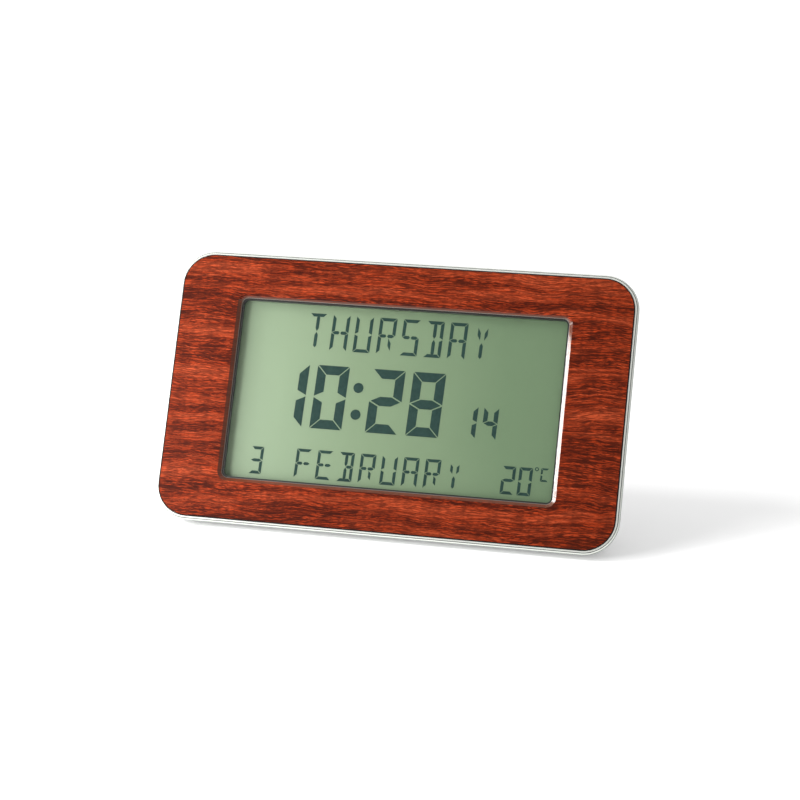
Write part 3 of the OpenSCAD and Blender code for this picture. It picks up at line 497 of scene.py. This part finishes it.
# The rear case, the battery door and the folding leg are moulded in silver-grey plastic with an eroded skin.
# Their edges are polished a little by handling.
def moulded(name, colour, roughness, pits=3500.0, depth=0.00002, wear=0.5):
    """Moulded plastic: pits as bump, smudges in colour and roughness, and lighter, smoother edges."""
    made, tree, shader = finish_of(name, colour, roughness)
    skin = grouped(tree, moulded_skin, vector=object_place(tree), pits=pits)
    worn = grouped(tree, edge_wear, radius=0.0004, amount=wear)["Mask"]
    lighter = tuple(min(1.0, c * 1.25 + 0.02) for c in colour)
    darker = tuple(c * 0.95 for c in colour)
    tinted = ramp(tree, skin["Smudge"], (0.35, darker), (0.6, colour))
    rough = line_through(tree, skin["Smudge"], 0.14, roughness - 0.06)
    feed(tree, shader, base_color=mixed(tree, worn, tinted, lighter),
         roughness=calc(tree, "SUBTRACT", rough, calc(tree, "MULTIPLY", worn, 0.12)),
         normal=bumped(tree, skin["Height"], depth))
    return made


case_grey = moulded("case_plastic", (0.215, 0.22, 0.215), 0.46)
for name in ("rear_case", "battery_door", "stand_leg"):
    dress(name, case_grey)


# The button caps and the alarm slider are moulded in a darker grey, smooth and dished for a fingertip.
button_grey = moulded("button_plastic", (0.11, 0.115, 0.115), 0.36, pits=6000.0, depth=0.00001, wear=0.8)
for name in ("mode_button", "set_button", "up_button", "down_button", "slider_knob"):
    dress(name, button_grey)


# Plain marks beside the keys say what each does. They are pad-printed on the case in a pale paint, half of
# whose thickness stands proud.
case_back = reach("rear_case", out)[0]
mark_height = 0.0034
mark_thickness = 0.00010
mark_gap = 0.0058
alarm_mark_lift = 0.0026


def printed(name, text, x, y, made, size=mark_height):
    """A line of text made mesh and stood on the case's back, which reads from behind. Its left end is at a
    place."""
    curve = bpy.data.curves.new(name, "FONT")
    curve.body, curve.size, curve.align_y, curve.extrude = text, size, "CENTER", mark_thickness / 2
    curve.resolution_u = 4
    drawn = bpy.data.objects.new(name + "_drawn", curve)
    bpy.context.scene.collection.objects.link(drawn)
    bpy.context.view_layer.update()
    mesh = bpy.data.meshes.new_from_object(drawn.evaluated_get(bpy.context.evaluated_depsgraph_get()))
    bpy.data.objects.remove(drawn)
    places = np.empty(len(mesh.vertices) * 3)
    mesh.vertices.foreach_get("co", places)
    flat = places.reshape(-1, 3)
    flat = (x - flat[:, :1]) * right + (y + flat[:, 1:2]) * up + (case_back - flat[:, 2:]) * out
    mesh.vertices.foreach_set("co", flat.ravel())
    mesh.materials.clear()
    mesh.materials.append(made)
    mesh.name = name
    piece = bpy.data.objects.new(name, mesh)
    bpy.context.scene.collection.objects.link(piece)
    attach(piece, "case")


paint, tree, shader = finish_of("mark_paint", (0.62, 0.63, 0.62), 0.5, specular_ior_level=0.3)
thin_spots = noise(tree, object_place(tree), 2400, 3, 0.6)
feed(tree, shader, base_color=ramp(tree, thin_spots, (0.35, (0.50, 0.51, 0.50)), (0.6, (0.66, 0.67, 0.66))),
     roughness=line_through(tree, thin_spots, 0.2, 0.42))
marks = {"mode": "MODE", "set": "SET", "up": "UP", "down": "DOWN"}
for key, text in marks.items():
    middle = [sum(reach(f"{key}_button", way)) / 2 for way in (right, up)]
    printed(f"mark_{key}", text, middle[0] - mark_gap, middle[1], paint)
slider_x, slider_y = [sum(reach("slider_knob", way)) / 2 for way in (right, up)]
printed("mark_alarm_on", "ALARM ON", slider_x - mark_gap, slider_y + alarm_mark_lift, paint)
printed("mark_alarm_off", "OFF", slider_x - mark_gap, slider_y - alarm_mark_lift, paint)


# The feet and the leg's pad are die-cut from black rubber sheet and glued on.
rubber = moulded("foot_rubber", (0.022, 0.022, 0.024), 0.72, pits=2200.0, depth=0.00003, wear=0.3)
for name in ("front_feet", "stand_pad"):
    dress(name, rubber)


# Screws, the hinge pin, contacts and springs are plated steel, drawn or rolled, with lines along the metal.
def plated(name, colour, roughness, lines=2600.0):
    """Drawn metal: long thin noise in the roughness and the bump, and specks of tarnish in the colour."""
    made, tree, shader = finish_of(name, colour, roughness, 1.0)
    place = add(tree, "Mapping", {"Vector": object_place(tree), "Scale": (0.06, 1, 1)}).outputs[0]
    drawn = noise(tree, place, lines, 3, 0.65)
    tarnish = noise(tree, object_place(tree), 260, 3, 0.6)
    dull = tuple(c * 0.72 for c in colour)
    feed(tree, shader, base_color=ramp(tree, tarnish, (0.42, dull), (0.6, colour)),
         roughness=line_through(tree, drawn, 0.2, roughness - 0.08),
         normal=bumped(tree, drawn, 0.000006, 0.6))
    return made


steel = plated("steel", (0.56, 0.56, 0.57), 0.28)
for name in ("case_screws", "main_board_screws", "button_board_screws", "stand_pin", "battery_contacts",
             "battery_springs", "quartz_crystal", "slide_switch"):
    dress(name, steel)
brass = plated("brass", (0.70, 0.50, 0.20), 0.30)
dress("piezo_buzzer", brass)


# The circuit boards are glass-fibre laminate under green solder resist, in which copper tracks show faintly.
board, tree, shader = finish_of("circuit_board", (0.02, 0.14, 0.05), 0.30, coat_weight=0.4)
weave = add(tree, "TexVoronoi", {"Vector": on_face(tree), "Scale": 420.0}, distance="MANHATTAN")
tracks = ramp(tree, weave.outputs["Distance"], (0.28, 0.0), (0.32, 1.0))
feed(tree, shader, base_color=mixed(tree, calc(tree, "MULTIPLY", tracks, 0.5), (0.015, 0.11, 0.04),
                                    (0.03, 0.20, 0.08)),
     normal=bumped(tree, weave.outputs["Distance"], 0.00004, 0.4))
for name in ("main_board", "button_board"):
    dress(name, board)


# The small parts inside: resin over the chip, components, sensor bead, cable, wires, rubber, switches and
# the display's holder.
inner_finishes = {
    "black_resin": (("chip_blob",), (0.012, 0.012, 0.013), 0.22),
    "components": (("board_components",), (0.32, 0.24, 0.13), 0.45),
    "sensor": (("temperature_sensor",), (0.20, 0.04, 0.02), 0.25),
    "cable": (("ribbon_cable",), (0.55, 0.55, 0.52), 0.50),
    "red_wire": (("battery_wire_red", "buzzer_wires"), (0.45, 0.02, 0.02), 0.42),
    "black_wire": (("battery_wire_black",), (0.015, 0.015, 0.016), 0.42),
    "switch_plastic": (("tact_switches", "slider_lever"), (0.02, 0.02, 0.022), 0.40),
    "contact_rubber": (("zebra_strips",), (0.30, 0.30, 0.31), 0.70),
    "holder": (("display_holder",), (0.75, 0.75, 0.73), 0.50),
}
for finish, (node_names, colour, roughness) in inner_finishes.items():
    made = moulded(finish, colour, roughness, pits=5000.0, depth=0.000008)
    for name in node_names:
        dress(name, made)


# Each cell is a steel can in a shrink-wrapped plastic jacket, black with a copper-coloured band at one end.
jacket, tree, shader = finish_of("cell_jacket", (0.02, 0.02, 0.024), 0.28, coat_weight=0.5)
along = add(tree, "SeparateXYZ", {"Vector": on_face(tree)}).outputs["Y"]
cells_low, cells_high = reach("battery_cells", up)
copper_share = 0.32
band = calc(tree, "GREATER_THAN", along, cells_high - copper_share * (cells_high - cells_low))
wrinkles = noise(tree, on_face(tree, (1, 0.2, 1)), 700, 2)
feed(tree, shader, base_color=mixed(tree, band, (0.02, 0.02, 0.024), (0.55, 0.26, 0.10)),
     metallic=calc(tree, "MULTIPLY", band, 0.8), normal=bumped(tree, wrinkles, 0.00003, 0.5))
dress("battery_cells", jacket)


# The table is a plain pale floor, lit so that it turns white, with a soft shadow to the right of the clock.
def flat_floor(half, height):
    """A square at a height, one face of four corners."""
    mesh = bpy.data.meshes.new("floor")
    mesh.from_pydata([(-half, -half, height), (half, -half, height), (half, half, height),
                      (-half, half, height)], [], [(0, 1, 2, 3)])
    return bpy.data.objects.new("floor", mesh)


floor = flat_floor(40.0, 0.0)
bpy.context.scene.collection.objects.link(floor)
pale, tree, shader = finish_of("pale_floor", (0.86, 0.86, 0.86), 0.9, specular_ior_level=0.1,
                               emission_color=(1, 1, 1, 1), emission_strength=0.23)
faint = noise(tree, object_place(tree), 3, 2)
feed(tree, shader, base_color=ramp(tree, faint, (0.3, 0.85), (0.7, 0.87)))
floor.data.materials.append(pale)


# Studio light: a soft box and a lower strip on the left near the clock, a soft sun-like key from the same
# side for the shadow, and a pale surround that darkens towards the right.
def turn_towards(lamp, way):
    """Turns a light or the camera so that it points along a direction."""
    lamp.rotation_euler = Vector(way).to_track_quat("-Z", "Y").to_euler()


def soft_box(name, place, aim, size, watts):
    """A rectangular area light at a place, turned to its aim."""
    light = bpy.data.lights.new(name, "AREA")
    light.shape, light.size, light.size_y, light.energy = "RECTANGLE", size[0], size[1], watts
    lamp = bpy.data.objects.new(name, light)
    lamp.location = place
    turn_towards(lamp, Vector(aim) - Vector(place))
    bpy.context.scene.collection.objects.link(lamp)


soft_box("left_box", (-0.40, -0.38, 0.20), (0.0, 0.0, 0.05), (0.21, 0.34), 2.9)
soft_box("left_strip", (-0.365, -0.044, 0.182), (0.05, 0.0, 0.05), (0.15, 0.19), 1.9)
sun = bpy.data.lights.new("key", "SUN")
sun.energy, sun.angle = 0.9, math.radians(16)
key = bpy.data.objects.new("key", sun)
turn_towards(key, (0.8, 0.15, -0.75))
bpy.context.scene.collection.objects.link(key)
world = bpy.data.worlds.new("surround")
world.use_nodes = True
bpy.context.scene.world = world
around = world.node_tree
# Pale walls and ceiling stand all round. Only the patch that the lens mirrors towards the camera is dim.
mirror_way = (-0.209, -0.768, 0.605)
gaze = add(around, "TexCoord", {}).outputs["Generated"]
sideways = line_through(around, add(around, "SeparateXYZ", {"Vector": gaze}).outputs["X"], 0.5, 0.5)
pale = ramp(around, sideways, (0.0, 1.20), (0.5, 1.00), (1.0, 0.50))
mirrored = add(around, "VectorMath", {0: gaze, 1: mirror_way}, operation="DOT_PRODUCT").outputs["Value"]
patch = ramp(around, mirrored, (0.80, 0.0), (0.91, 1.0))
around.links.new(mixed(around, patch, pale, (0.05, 0.05, 0.05)), around.nodes["Background"].inputs["Color"])
around.nodes["Background"].inputs["Strength"].default_value = 1.0
bpy.context.scene.view_settings.view_transform = "Standard"


# The camera stands where the photograph was taken from.
azimuth, elevation = math.radians(12.81), math.radians(19.33)
aim, distance = Vector((0.00291, -0.01076, 0.05118)), 0.8334
back = Vector((math.sin(azimuth) * math.cos(elevation), -math.cos(azimuth) * math.cos(elevation),
               math.sin(elevation)))
camera = bpy.data.objects.new("camera", bpy.data.cameras.new("camera"))
camera.data.sensor_width = 36.0
camera.data.lens = 93.6
camera.data.clip_start = 0.05
camera.location = aim + back * distance
turn_towards(camera, -back)
bpy.context.scene.collection.objects.link(camera)
bpy.context.scene.camera = camera
